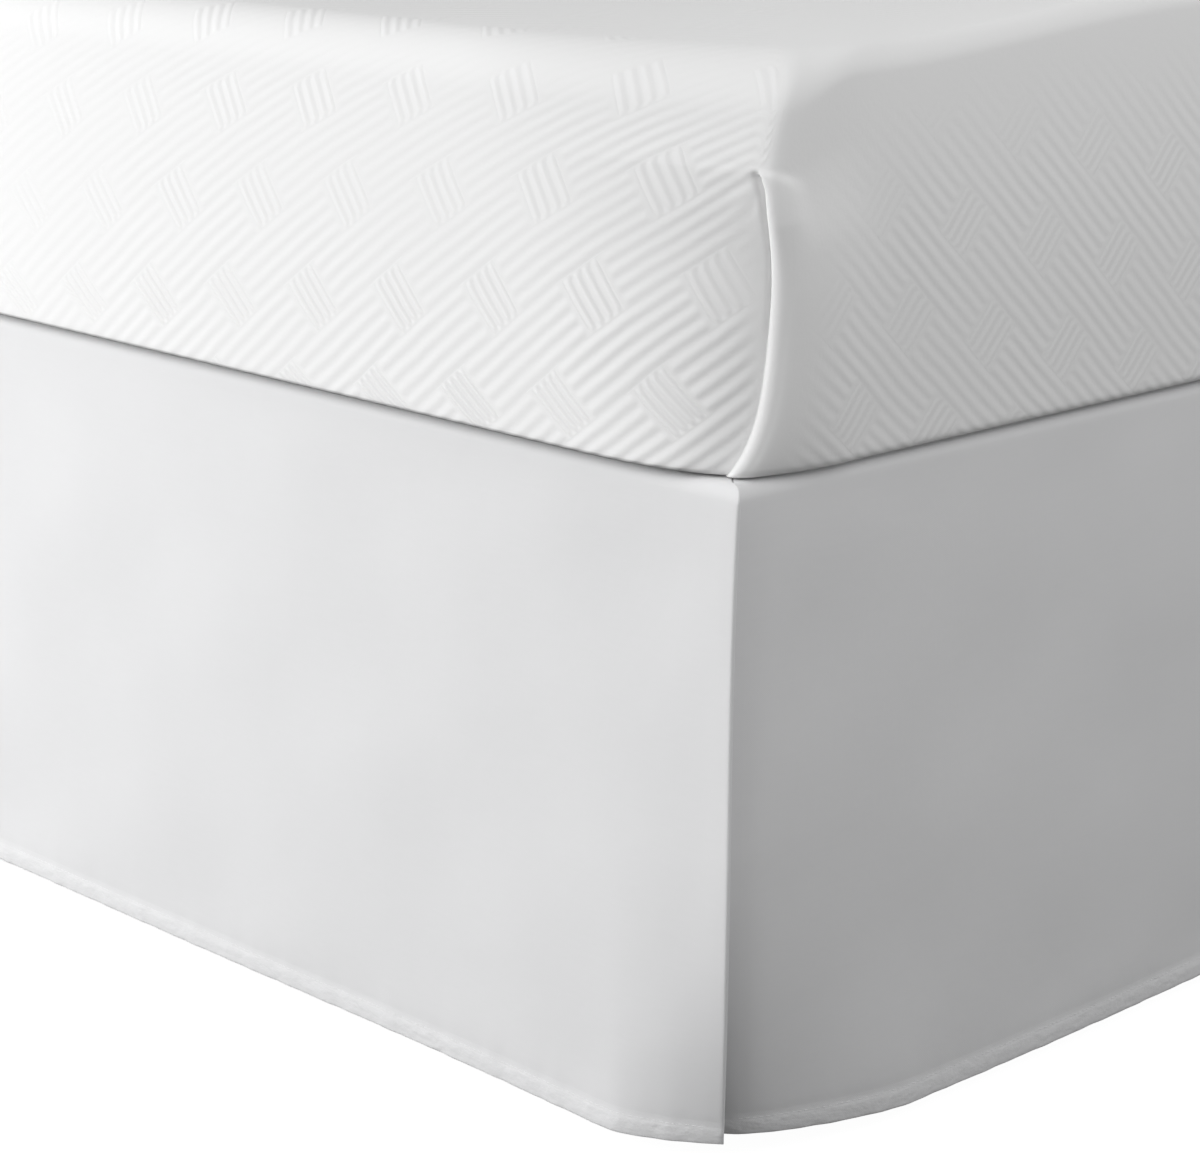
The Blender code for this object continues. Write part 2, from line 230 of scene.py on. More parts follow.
PLAIN_RIM = (0.03, 0.05)  # how far in from the sides it starts there, and over how much
PLAIN_FOOT = (0.008, 0.034)  # how far beside the fold the foot is plain: at its ends and between
PLAIN_FROM = (0.040, 0.060)  # from what level that grows, and over how much
PLAIN_TO = (0.004, 0.024)  # how far past its top it ends, and over how much
EDGE_ENDS = 0.006  # over how much the folded edge ends above its top
PLAIN_SIDE = (0.040, 0.110)  # over how much the side's ribs grow, low down and high up
SIDE_SLOWS = (0.085, 0.050)
SIDE_PLAIN_TOP = (0.030, 0.065)  # how far below its top they end, and over how much
PAINTED_SHADE_SHOWN = (-18.0, -40.0, 0.26)  # painted shade where the skin faces down, for the shadow under its edge: the turn where it starts on the foot, elsewhere, and its share there
PAINTED_SHADE_SOFT = 25.0  # the turn over which it starts
WOBBLE = 0.0024  # how unevenly the ribs run
RIBS_CLOSE = (0.22, 0.12, 0.10)  # how softly they end: across a block, along it and along a band

# The base, and its legs as (radius, height) pairs
BASE_CORNER = 0.030
BASE_EDGE = 0.010
BASE_SEAM = ((0.0235, 0.0012), (0.025, 0.0), (0.030, 0.0))  # (way from its edge, depth) of a seam
SEAM_FROM = 0.022
BASE_STEPS = (0.006, 0.02, 0.05)  # beside the seams, between them and round the base
CAP_SIZES = (0.08, 0.3, 0.6, 0.9)
LEG_LOWER = ((0.0200, 0.0), (0.0212, 0.0006), (0.0220, 0.0020), (0.0228, 0.0160), (0.0260, 0.0900))
LEG_UPPER = ((0.0292, 0.0120), (0.0297, 0.0030), (0.0290, 0.0008), (0.0280, 0.0))  # from its top
LEG_SHARP = math.radians(40)
DECK_STEP = 0.03

# Colours
SKIRT_WHITE = (0.798, 0.799, 0.806)
COVER_WHITE = (0.885, 0.886, 0.885)
# The underside's dark grey below is painted shade: it stands for the shadow under the mattress's
# lower edge, darkest along the foot
UNDERSIDE_SHADE_GREY = (0.08, 0.08, 0.083)
THREAD_WHITE = (0.80, 0.80, 0.805)
BASE_GREY = (0.66, 0.65, 0.63)
DARK_WOOD, LIGHT_WOOD = (0.20, 0.115, 0.062), (0.36, 0.225, 0.13)
HEM_TONE = (0.004, 0.006, 0.4)  # how far above a hem its tone starts, over how much, and its share
WEAVE_PITCH = 0.0011

# Camera and picture
PICTURE = (1200, 1153)
FOCAL_PIXELS = 3252.67
CAMERA_TURN = math.radians(46.47)
CAMERA_PITCH = math.radians(15.1298)
CAMERA_BACK = 1.5888  # level distance from the skirt's foot corner
CAMERA_UP = 0.7647
CAMERA_ACROSS = -0.0669
SENSOR = 36.0
SEES_TO = 60

# Light: softboxes as (name, degrees from the foot, degrees up, distance, width, height, power)
AIM = Vector((0.45, -0.90, 0.35))  # at the foot corner, which they all face
LIGHTS = (
    ("key", -33, 28, 4.0, 1.9, 1.9, 67.0),
    ("low_left", -60, 0, 2.0, 1.0, 0.6, 13.0),
    ("low_front", 0, 0, 2.0, 1.0, 0.6, 10.0),
    ("side", 100, 40, 2.0, 1.0, 1.0, 9.5),
    ("head", 120, 20, 3.0, 1.5, 0.8, 7.5),
)
WORLD = 0.37
WORLD_SEEN = 1.0
FLOOR = 0.15
FLOOR_SEEN = 0.97
FLOOR_SIZE = 14.0
WHITE = (1.0, 1.0, 1.0, 1.0)
TINY = 1e-9  # less than any real length here


def smooth(x):
    """0 below 0, 1 above 1 and an easy curve between."""
    x = np.clip(x, 0.0, 1.0)
    return x * x * (3 - 2 * x)


def eased(value, start, over):
    """0 up to start, 1 from start + over on and an easy curve between."""
    return float(smooth((value - start) / over))


def mixed(first, last, share):
    return first * (1 - share) + last * share


def unit(vectors):
    return vectors / np.maximum(np.linalg.norm(vectors, axis=-1, keepdims=True), 1e-12)


def way_along(points):
    """The way along a line of points to each of them."""
    steps = np.linalg.norm(np.diff(points, axis=0), axis=1)
    return np.concatenate([[0], np.cumsum(steps)])


def added(name, data):
    """An object with that data, in the scene."""
    made = bpy.data.objects.new(name, data)
    bpy.context.scene.collection.objects.link(made)
    return made


# ---- Meshes ----


def mesh_object(name, points, faces, finish, uv=None):
    """A smooth mesh that rides on the bed. uv holds metres for each corner of each face."""
    mesh = bpy.data.meshes.new(name)
    mesh.from_pydata([tuple(p) for p in points], [], faces)
    if uv is not None:
        layer = mesh.uv_layers.new(name="cloth")
        layer.data.foreach_set("uv", np.asarray(uv, np.float32).ravel())
    mesh.materials.append(finish)
    mesh.shade_smooth()
    made = added(name, mesh)
    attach(made, "root")
    return made


def grid_normals(points):
    """Unit normals of a grid of points, to the side that rows crossed with columns gives."""
    down = np.gradient(points, axis=0)
    along = np.gradient(points, axis=1)
    return unit(np.cross(down, along))


def shell(name, middle, half, uv, finish):
    """A closed sheet.

    middle is its grid of points and half its half thickness, 0 round its outline. Returns
    the object, and the grid of its outer side with its normals.
    """
    rows, columns = half.shape
    normals = grid_normals(middle)
    outer = middle + normals * half[..., None]
    inner = middle - normals * half[..., None]
    index = np.arange(rows * columns).reshape(rows, columns)
    inside = index.copy()
    inner_shape = (rows - 2, columns - 2)
    inside[1:-1, 1:-1] = index.size + np.arange(math.prod(inner_shape)).reshape(inner_shape)
    points = np.concatenate([outer.reshape(-1, 3), inner[1:-1, 1:-1].reshape(-1, 3)])
    flat = np.concatenate([uv.reshape(-1, 2), uv[1:-1, 1:-1].reshape(-1, 2)])
    front = np.stack([index[:-1, :-1], index[1:, :-1], index[1:, 1:], index[:-1, 1:]], -1)
    back = np.stack([inside[:-1, :-1], inside[:-1, 1:], inside[1:, 1:], inside[1:, :-1]], -1)
    faces = np.concatenate([front.reshape(-1, 4), back.reshape(-1, 4)])
    return mesh_object(name, points, faces.tolist(), finish, flat[faces]), outer, normals


def round_edge(base, distance):
    """Half thickness base, rounded off towards an outline that is at distance."""
    left = 1 - np.clip(distance / base, 0, 1)
    return base * np.sqrt(np.maximum(0.0, 1 - left**2))


def spaced(first, last, step):
    """Numbers from first to last, about step apart."""
    return np.linspace(first, last, max(2, round(abs(last - first) / step) + 1))


def joined(*runs):
    """Runs of numbers as one, without doubles."""
    values = np.concatenate(runs)
    keep = np.concatenate([[True], np.abs(np.diff(values)) > 1e-7])
    return values[keep]


def spaced_runs(start, runs):
    """Numbers from start on, through runs given as (where it ends, its step)."""
    parts = []
    for end, step in runs:
        parts.append(spaced(start, end, step))
        start = end
    return joined(*parts)


RIM = HEM_CLOTH / 2 * (1 - np.cos(np.radians([0, 30, 60, 90])))

# ---- The drops ----


def section():
    """(inset, height above the hem) of a drop's rows, from its flange down."""
    top = DROP - CLOTH / 2
    flange = joined(FLANGE - RIM / 2, spaced(FLANGE - RIM[-1], SHOULDER, FLANGE_STEP))
    turn = np.radians(np.linspace(0, 90, 10))[1:]
    inset = np.concatenate([flange, SHOULDER * (1 - np.sin(turn)), np.zeros(1)])
    height = np.concatenate([np.full(len(flange), top), top - SHOULDER * (1 - np.cos(turn))])
    face = joined(spaced_runs(top - SHOULDER - FACE_START, FACE_RUNS), RIM[::-1])
    inset = np.concatenate([inset[:-1], np.zeros(len(face))])
    return inset, np.concatenate([height, face])


def end_run():
    """Distances in from a hemmed end, closest together at the end and its stitching."""
    return joined(RIM, spaced_runs(RIM[-1], END_RUNS))


def drawn_in(reach, distance, height):
    """The share of a split corner's draw-in that a point of a drop takes."""
    near = np.clip(1 - distance / reach, 0, 1)
    low = np.clip(1 - height / DRAW_HEIGHT, 0, 1)
    return near ** DRAW_FADES[0] * low ** DRAW_FADES[1]


def swing(drop, run, height, distance):
    """How far a drop's soft waves carry it outwards, run metres along it."""
    turn = 2 * math.pi * run / WAVE_LENGTH + WAVE_START[drop]
    faster, start, share = SECOND_WAVE
    shape = np.sin(turn) + share * np.sin(faster * turn + start)
    ends = 1 - np.exp(-distance / WAVE_CALM)
    return WAVE * shape * ends * (1 - height / DROP)


def foot_middle(run, inset, height):
    """The middle of the foot drop's cloth, run metres from its left end."""
    side = np.sign(run - FACE_X)
    distance = FACE_X - np.abs(run - FACE_X)
    on_face = np.maximum(0.0, 1 - (inset / SHOULDER) ** LAP_FADES[0])
    here = FACE_X - inset + LAP_FLARE * on_face * (height / DROP) ** LAP_FADES[1]
    along, inwards, up = FOOT_DRAW
    share = drawn_in(FOOT_REACH, distance, height)
    slack = drawn_in(SLACK * FOOT_REACH, distance, height)
    x = side * (here - distance * here / FACE_X - along * slack)
    y = FACE_Y + inset + inwards * share
    y = y - np.where(inset < TINY, swing("foot", x, height, distance), 0)
    return np.stack([x, y, HEM_ABOVE_FLOOR + height + up * share], -1)


def side_middle(side, run, inset, height):
    """The middle of a side drop's cloth, run metres from its foot end."""
    tuck = mixed(SIDE_TUCK, SHOULDER_GAP, smooth(inset / SHOULDER))
    start = FACE_Y + tuck + inset
    along, inwards, up = SIDE_DRAW
    share = drawn_in(SIDE_REACH, run, height)
    slack = drawn_in(SLACK * SIDE_REACH, run, height)
    y = start + run * (HEAD_Y - start) / FULL_SIDE + along * slack
    below = np.maximum(0.0, 1 - (height / (DROP - SHOULDER)) ** TUCK_FADE)
    tucked = TUCK_IN * below * np.maximum(0.0, 1 - run / TUCK_REACH) ** 2
    x = FACE_X - inset - tucked - inwards * share
    swung = swing("right" if side > 0 else "left", y, height, run)
    x = x + np.where(inset < TINY, swung, 0)
    return np.stack([side * x, y, HEM_ABOVE_FLOOR + height + up * share], -1)


def relief(run, distance, inset, height, phase):
    """How far the cloth stands out of its middle surface: dents, hem and puckers."""
    below_top, in_from_ends, above_hem = DENTS_FROM
    on_face = smooth((SHOULDER - inset) / SHOULDER) * smooth((DROP - height) / below_top)
    dents = 0.0
    for along, down, start, tall in DENTS:
        turn = 2 * math.pi * (run / along + height / down) + start + phase
        dents = dents + tall * np.sin(turn)
    inside = smooth(distance / in_from_ends) * smooth(height / above_hem)
    width = np.where(height > HEM_DEPTH, GROOVE_ABOVE, GROOVE_BELOW)
    groove = np.exp(-(((height - HEM_DEPTH) / width) ** 2))
    puff = np.sin(math.pi * np.clip(height / HEM_DEPTH, 0, 1))
    ripple = 0.0
    for length, start, share in PUCKERS:
        ripple = ripple + share * np.sin(2 * math.pi * run / length + start + 3 * phase)
    low = np.exp(-np.maximum(0, height - HEM_DEPTH) / PUCKER_FADE)
    hem = HEM_PUFF * puff - HEM_GROOVE * groove + PUCKER * ripple * low
    return on_face * (dents * inside + hem)


def hem_extra(distance, height):
    """How much more than a single cloth's half thickness a drop has, in its hems."""
    hemmed = 1 - smooth((height - HEM_DEPTH) / HEM_EASE)
    ended = 1 - smooth((distance - SIDE_HEM) / END_EASE)
    free = smooth((DROP - SHOULDER - height) / HEM_EASE)
    return (HEM_CLOTH - CLOTH) / 2 * np.maximum(hemmed, ended) * free


def drop_sheet(name, middle, length, phase, finish, flipped=False):
    """A drop as a fine sheet, the line that its hem is stitched along and the normals there."""
    inset, height = section()
    end = end_run()
    run = joined(end, spaced(end[-1], length - end[-1], ALONG_STEP), length - end[::-1])
    run_grid, inset_grid = np.meshgrid(run, inset)
    height_grid = np.repeat(height[:, None], len(run), axis=1)
    if flipped:
        run_grid = run_grid[:, ::-1]
    distance = np.minimum(run_grid, length - run_grid)
    surface = middle(run_grid, inset_grid, height_grid)
    extra = hem_extra(distance, height_grid)
    stands = relief(run_grid, distance, inset_grid, height_grid, phase) - FLUSH * extra
    surface = surface + grid_normals(surface) * stands[..., None]
    nearest = np.minimum(np.minimum(height_grid, distance), 2 * (FLANGE - inset_grid))
    half = round_edge(CLOTH / 2 + extra, nearest)
    uv = np.stack([run_grid, height_grid - inset_grid], -1)
    cloth, outer, normals = shell(name, surface, half, uv, finish)
    row = int(np.argmin(np.abs(height - HEM_DEPTH) + inset))
    first = int(np.argmin(np.abs(end - SIDE_HEM)))
    return cloth, outer[row, first:-first], normals[row, first:-first]


# ---- Stitches ----


def stitches(name, path, normals, finish):
    """A row of thread stitches, each a small spindle that dips into the cloth at both ends."""
    points, faces = [], []
    round_thread = ((1, 0), (0, 1), (-1, 0), (0, -1))
    way = way_along(path)
    for at in np.arange(STITCH_PITCH, way[-1] - STITCH_PITCH, STITCH_PITCH):
        ends = (at - STITCH_LENGTH / 2, at + STITCH_LENGTH / 2)
        first, last = (np.array([np.interp(s, way, path[:, k]) for k in range(3)]) for s in ends)
        up = unit(np.array([np.interp(at, way, normals[:, k]) for k in range(3)]))
        across = np.cross(up, unit(last - first))
        base = len(points)
        points.append(first - up * THREAD)
        for share in STITCH_FULL:
            centre = mixed(first, last, share) + up * THREAD * STITCH_PROUD
            points += [centre + (across * c + up * u) * THREAD for c, u in round_thread]
        points.append(last - up * THREAD)
        for k in range(4):
            n = (k + 1) % 4
            faces.append((base, base + 1 + n, base + 1 + k))
            faces.append((base + 1 + k, base + 1 + n, base + 5 + n, base + 5 + k))
            faces.append((base + 5 + k, base + 5 + n, base + 9))
    return mesh_object(name, points, faces, finish)


# ---- The mattress ----


def higher(level):
    """0 to 1 up a corner, as its rounding gives way to a squarer turn."""
    return eased(level, HIGH_FROM, FOLD_TOP - HIGH_FROM)


def fold_place(level):
    """Where the fold crosses a foot corner: how far in from the side and foot faces."""
    shift = FOLD_SHIFT * (1 - math.exp(-level / FOLD_RISE))
    turn = math.pi / 4 + math.asin(shift / CORNER)
    rounded = CORNER * np.array([1 - math.sin(turn), 1 - math.cos(turn)])
    bow, bow_level, reach = FOLD_BOW
    bowed = bow * math.exp(-(((level - bow_level) / reach) ** 2))
    moved = FOLD_SWEEP * max(0.0, level - FOLD_TOP) + bowed
    return mixed(rounded, np.array(HIGH_FOLD), higher(level)) + np.array([0, moved])


def curve(first, bend, last, steps=32):
    """Points of a curve that leaves first and reaches last towards bend."""
    t = np.linspace(0, 1, steps + 1)[:, None]
    return first * (1 - t) ** 2 + bend * 2 * t * (1 - t) + last * t**2


def half_outline(level):
    """The mattress's right half at a level, from the middle of its foot to that of its head.

    Returns points on it, the way along it to each, to the fold and to the head's corner.
    """
    fold = fold_place(level)
    foot_start = mixed(*FOOT_START, min(1.0, level / FOLD_TOP))
    turned = mixed(*FOOT_TURN, higher(level))
    side_turned = mixed(*SIDE_TURN, higher(level))
    foot_bend = np.array([fold[0] + fold[1] / math.tan(turned), 0])
    side_bend = np.array([0, fold[1] + fold[0] * math.tan(side_turned)])
    foot = curve(np.array([foot_start, 0]), foot_bend, fold)
    side = curve(fold, side_bend, np.array([0, SIDE_END]))
    from_corner = np.concatenate([[[HALF_X, 0]], foot, side[1:]])
    start = np.stack([HALF_X - from_corner[:, 0], from_corner[:, 1] - HALF_Y], -1)
    turn = np.linspace(0, math.pi / 2, 20)
    centre = np.array([HALF_X, HALF_Y]) - CORNER
    head = centre + CORNER * np.stack([np.cos(turn), np.sin(turn)], -1)
    points = np.concatenate([start, head, [[0, HALF_Y]]])
    way = way_along(points)
    return points, way, way[len(foot)], (way[len(start)] + way[-2]) / 2


def stations():
    """Shares of the ways from foot to fold, on to the head's corner and to its middle."""
    near = np.concatenate([np.arange(*run) for run in NEAR_FOLD]) / 1000
    _, way, fold_at, head_at = half_outline(MATTRESS_SIDE / 4)
    foot = 1 - joined(near, spaced(near[-1], fold_at, AROUND_STEP))[::-1] / fold_at
    reach = head_at - fold_at
    corner = np.array(HEAD_CORNER)
    side = joined(near, spaced(near[-1], reach - corner[0], AROUND_STEP), reach - corner) / reach
    rest = way[-1] - head_at
    head = joined(corner[::-1], spaced(corner[0], rest, AROUND_STEP)) / rest
    return foot, side, head


def along_outline(points, way, at):
    return np.stack([np.interp(at, way, points[:, 0]), np.interp(at, way, points[:, 1])], -1)


def fold_relief(apart, level):
    """How far the folded edge, its crease and its top's puckers stand out of the corner."""
    below_top = FOLD_TOP - level
    under_top = max(0.0, below_top)
    size = min(1.0, max(0.0, below_top / BEAD_START)) ** BEAD_POWER
    width = mixed(BEAD_NARROW[1], 1.0, eased(below_top, 0, BEAD_NARROW[0]))
    reach = BEAD * width
    apart = apart + BEAD_HOOK * max(0.0, 1 - under_top / BEAD_END) ** 2
    rounded = BEAD_ROUND * width
    over = np.clip((rounded - apart) / (rounded + reach), 0, 1)
    widened, settled, grown = (eased(below_top, 0, way) for way in BEAD_GROWS)
    settled = settled * BEAD_SETTLES
    tails = (mixed(*BEAD_TAIL, widened), SETTLED_TAIL)
    sinks = [np.clip((apart - rounded) / tail, 0, 1) for tail in tails]
    narrow, wide = (np.cos(math.pi / 2 * s) ** 2 for s in sinks)
    shape = np.sqrt(1 - over**2) * ((size - settled) * narrow + settled * wide)
    bead = mixed(*BEAD_HEIGHT, grown) * shape
    deeper, deeper_over = CREASE_DEEPER
    deep = CREASE * eased(level, CREASE_FROM, CREASE_GROWS) * eased(below_top, 0, CREASE_END)
    deep = deep * (1 + deeper * math.exp(-under_top / deeper_over))
    crease_width = mixed(*CREASE_WIDTH, math.exp(-under_top / CREASE_WIDENS))
    beside = smooth((-apart - reach) / CREASE_SIDE)
    crease = -deep * beside * np.exp(-(((apart + reach) / crease_width) ** 2))
    height, turns, distance, spread = TOP_PUCKER
    far = np.hypot(apart + reach, below_top)
    fan = np.arctan2(below_top + TINY, -apart)
    ripple = np.sin(turns * fan) * np.exp(-(((far - distance) / spread) ** 2))
    puckers = height * ripple * smooth((-apart - reach) / TOP_PUCKER_START)
    return bead + crease + puckers


def top_edge(apart, to_head):
    """The radius of the mattress's top edge, and its rise.

    apart is the way past the fold, and to_head the way left to the head's corner.
    """
    side = smooth(apart / RISE_OVER[0]) * smooth(to_head / RISE_OVER[0])
    radius = mixed(TOP_EDGE, SIDE_TOP_EDGE, side)
    first, last = RISE_OVER
    risen = smooth((apart - first) / (last - first)) * smooth((to_head - first) / (last - first))
    return radius, SIDE_RISE * risen


def ring(level, turned, shares):
    """The right half of one ring of the skin, at a level and as far over an edge as turned.

    Returns its points, and how far along each is from the fold, the foot's middle and the head's.
    """
    points, way, fold_at, head_at = half_outline(level)
    foot, side, head = shares
    to_head = fold_at + side * (head_at - fold_at)
    at = joined(foot * fold_at, to_head, head_at + head * (way[-1] - head_at))
    apart = at - fold_at
    above = eased(level, FOLD_TOP - BEAD_END, 2 * BEAD_END)
    turning = mixed(*FOLD_SOFT, higher(level))
    soft = mixed(turning, CORNER_SOFT, above) * np.exp(-((apart / SOFT_REACH) ** 2))
    place = 0.0
    for step, weight in zip(SOFTENING, SOFT_WEIGHTS):
        place = place + weight * along_outline(points, way, at + step * soft)
    reach = soft + AHEAD
    ahead = unit(along_outline(points, way, at + reach) - along_outline(points, way, at - reach))
    outwards = np.stack([ahead[:, 1], -ahead[:, 0]], -1)
    place = place + outwards * fold_relief(apart, level)[:, None]
    radius, risen = top_edge(apart, head_at - at)
    straight = MATTRESS_SIDE - TOP_EDGE
    taller = np.clip((level - ROLL_FROM) / (straight - ROLL_FROM), 0, 1)
    height = min(level, straight) + taller * (TOP_EDGE - radius + risen)
    height = height + radius * math.sin(max(0.0, turned))
    on_foot = smooth(-apart / FOOT_OVER)
    round_off = 1 - math.cos(turned)
    if turned < 0:
        under = FOOT_UNDER * round_off**UNDER_POWER
        inset = mixed(BOTTOM_EDGE * round_off, under, on_foot)
    else:
        inset = radius * round_off
    leans = min(1.0, max(0.0, level - LEAN_FROM) / (straight - LEAN_FROM)) ** 2
    on_side = smooth(apart / LEAN_OVER) * smooth((head_at - at) / LEAN_OVER)
    inset = inset + SIDE_LEAN * leans * on_side
    full = 1 - math.sin(math.pi * level / MATTRESS_SIDE)
    if level < MATTRESS_SIDE / 2:
        full = full * (1 - on_foot)
    drawn = inset + BULGE * full
    place = place * np.stack([1 - drawn / HALF_X, 1 - drawn / HALF_Y], -1)
    return np.column_stack([place, height]), apart, at, at - way[-1]


def mattress_profile():
    """(level, turn) of the mattress's rings, from its bottom edge to the start of its crown.

    The turn is how far up the skin faces there, below 0 where it faces down.
    """
    edge = np.radians(np.linspace(-90, 0, EDGE_RINGS))
    bottom = [(BOTTOM_EDGE * (1 + math.sin(a)), a) for a in edge]
    top = MATTRESS_SIDE - TOP_EDGE
    below, above = FINE_FROM
    runs = ((FOLD_TOP - below, RING_STEP), (FOLD_TOP + above, FINE_STEP), (top, RING_STEP))
    levels = spaced_runs(BOTTOM_EDGE, runs)
    side = [(level, 0.0) for level in levels[1:]]
    turns = np.radians(np.linspace(0, ROLL_END, ROLL_RINGS))[1:]
    over = [(top + TOP_EDGE * math.sin(a), a) for a in turns]
    return bottom + side + over


def foot_quilting(across, up, to_fold):
    """Quilting coordinates on the foot face and the top: along the long ribs and across."""
    low = np.minimum(up, PACK_TOP)
    steep = PACK[0] + 3 * PACK[1] * PACK_TOP**2
    packed = PACK[0] * low + PACK[1] * low**3 + steep * (up - low)
    along = FOOT_ACROSS[0] * across + SLANT * (1 - np.exp(-up / SLANT_RISE))
    pulled = PULLED[0] * np.exp(-np.maximum(0, to_fold) / PULLED[1]) * (across > 0)
    beside = FOOT_ACROSS[1] * across - packed + pulled
    return np.stack(np.broadcast_arrays(along + QUILT_SHIFT[0], beside + QUILT_SHIFT[1]), -1)


def side_quilting(across, up):
    """The same for the sides and the head, where the long ribs slope evenly."""
    along = across * math.cos(SIDE_RIBS) + up * math.sin(SIDE_RIBS)
    beside = across * math.sin(SIDE_RIBS) - up * math.cos(SIDE_RIBS)
    return np.stack(np.broadcast_arrays(along, beside), -1)


def quilting_shown(apart, level):
    """How full the long and the cross ribs are at a level, as two columns; the fold has none."""
    high = eased(level, *FOOT_RIBS_GROW)
    past, over = PLAIN_TO
    beside_fold = eased(level, *PLAIN_FROM) * float(smooth((FOLD_TOP + past - level) / over))
    edge = mixed(BEAD, 0.0, eased(level, FOLD_TOP, EDGE_ENDS))
    foot = smooth((-apart - edge) / mixed(*PLAIN_FOOT, beside_fold))
    on_roll = eased(level, *ROLL_SHOWN)
    reach = mixed(*PLAIN_SIDE, eased(level, *SIDE_SLOWS))
    below, over = SIDE_PLAIN_TOP
    side = smooth((apart - PLAIN_FOOT[0]) / reach) * smooth((MATTRESS_SIDE - below - level) / over)
    ways, *fades = zip(*FOOT_FADES)
    columns = []
    for full, roll_full, side_full, fade in zip(FOOT_RIBS, ROLL_FULL, SIDE_FULL, fades):
        foot_full = mixed(*full, high) * mixed(1.0, roll_full, on_roll)
        foot_full = foot_full * foot * np.interp(-apart, ways, fade)
        columns.append(np.where(apart < 0, foot_full, side_full * side))
    return np.stack(columns, -1)


def painted_shade_shown(turned, apart):
    """How much painted shade, in dark grey, shows where the skin faces down by turned: full along
    the foot, a share elsewhere.
    """
    *starts, side_share = PAINTED_SHADE_SHOWN
    foot, side = (float(smooth((s - math.degrees(turned)) / PAINTED_SHADE_SOFT)) for s in starts)
    return mixed(side * side_share, foot, smooth(-apart / FOOT_OVER))


def mirrored(values, sign=1):
    """A right half's values carried on round the left half, back to the start."""
    return np.concatenate([values, values[-2:0:-1] * sign])


def mattress_rings(shares):
    """The rings of the mattress's skin, from its underside to its crown, and the crown's first.

    Also each point's quilting coordinates as foot, side and top cloth, and its shares of long
    ribs, cross ribs and the painted shade where the skin faces down.
    """
    profile = mattress_profile()
    made = [ring(level, turned, shares) for level, turned in profile]
    rings = [mirrored(place, (-1, 1, 1)) for place, _, _, _ in made]
    steps = np.linalg.norm(np.diff(rings, axis=0), axis=-1)
    climbed = np.concatenate([np.zeros((1, steps.shape[1])), np.cumsum(steps, axis=0)])
    edge = [turned for _, turned in profile].index(0.0)
    climbed += BOTTOM_EDGE * math.pi / 2 - climbed[edge]
    foot_uv, side_uv, shown = [], [], []
    for (level, turned), (_, apart, from_foot, from_head), climb in zip(profile, made, climbed):
        foot_uv.append(foot_quilting(mirrored(from_foot, -1), climb, mirrored(-apart)))
        side_uv.append(side_quilting(mirrored(from_head, -1), climb))
        columns = [quilting_shown(apart, level), painted_shade_shown(turned, apart)]
        shown.append(mirrored(np.column_stack(columns)))
    rim = rings[-1]
    front = rim[0, 1] - climbed[-1, 0]
    crown = len(rings) - 1
    top_uv = [foot_quilting(rim[:, 0], rim[:, 1] - front, 1.0)] * len(rings)
    to_crown = MATTRESS_SIDE + CROWN - rim[:, 2]
    for size in spaced_runs(RIM_SIZE, CROWN_RUNS):
        place = rim * np.array([size, size, 1])
        place[:, 2] += to_crown * (1 - size**CROWN_POWER)
        rings.append(place)
        top_uv.append(foot_quilting(place[:, 0], place[:, 1] - front, 1.0))
        foot_uv.append(top_uv[-1])
        side_uv.append(top_uv[-1])
        inside = smooth((HALF_X - np.abs(place[:, 0]) - PLAIN_RIM[0]) / PLAIN_RIM[1])
        shown.append(inside[:, None] * np.array([*TOP_FULL, 0.0]))
    sizes = np.linspace(*UNDER_SIZES, UNDER_RINGS)
    under = [rings[0] * np.array([size, size, 0]) for size in sizes]
    for values in (foot_uv, side_uv, top_uv, shown):
        values[:0] = [values[0]] * len(under)
    return under + rings, crown + len(under), np.array([foot_uv, side_uv, top_uv]), np.array(shown)


def ring_faces(rows, around):
    """Quads between rows of closed rings."""
    index = np.arange(rows * around).reshape(rows, around)
    after = np.roll(index, -1, axis=1)
    return np.stack([index[:-1], after[:-1], after[1:], index[1:]], -1).reshape(-1, 4)


def end_caps(rows, around):
    """The faces that close the first and the last of rows of rings."""
    return [list(range(around))[::-1], list(range((rows - 1) * around, rows * around))]


def make_mattress(finish):
    """The quilted cover on the mattress, one closed skin."""
    shares = stations()
    rings, crown, uvs, shown = mattress_rings(shares)
    rows, around = len(rings), len(rings[0])
    faces = ring_faces(rows, around)
    column = np.arange(around)
    column = np.minimum(column, around - 1 - column)
    row = np.arange(rows - 1)[:, None]
    cloth = np.where(row >= crown, 2, np.where(column < len(shares[0]) - 1, 0, 1))
    uv = uvs.reshape(3, -1, 2)[cloth.reshape(-1, 1), faces].reshape(-1, 2)
    uv = np.concatenate([uv, np.zeros((2 * around, 2))])
    points = np.concatenate(rings) + np.array([0, 0, MATTRESS_LOW])
    faces = faces.tolist() + end_caps(rows, around)
    made = mesh_object("mattress_cover", points, faces, finish, uv)
    # the underside share marks painted shade, for the shadow under the mattress's edge
    for name, values in zip(("long_ribs", "cross_ribs", "underside"), np.moveaxis(shown, -1, 0)):
        share = made.data.attributes.new(name, "FLOAT", "POINT")
        share.data.foreach_set("value", values.ravel().astype(np.float32))
    return made


# ---- Materials ----


def add_node(tree, kind, inputs, **settings):
    """A node with these settings, and its inputs fed by name or number."""
    made = tree.nodes.new(kind)
    for key, value in settings.items():
        setattr(made, key, value)
    feed(tree, made, inputs)
    return made


def feed(tree, node, inputs):
    """Gives a node's inputs their values, or links them to another node's output."""
    for key, value in inputs.items():
        if isinstance(value, bpy.types.NodeSocket):
            tree.links.new(value, node.inputs[key])
        else:
            node.inputs[key].default_value = value


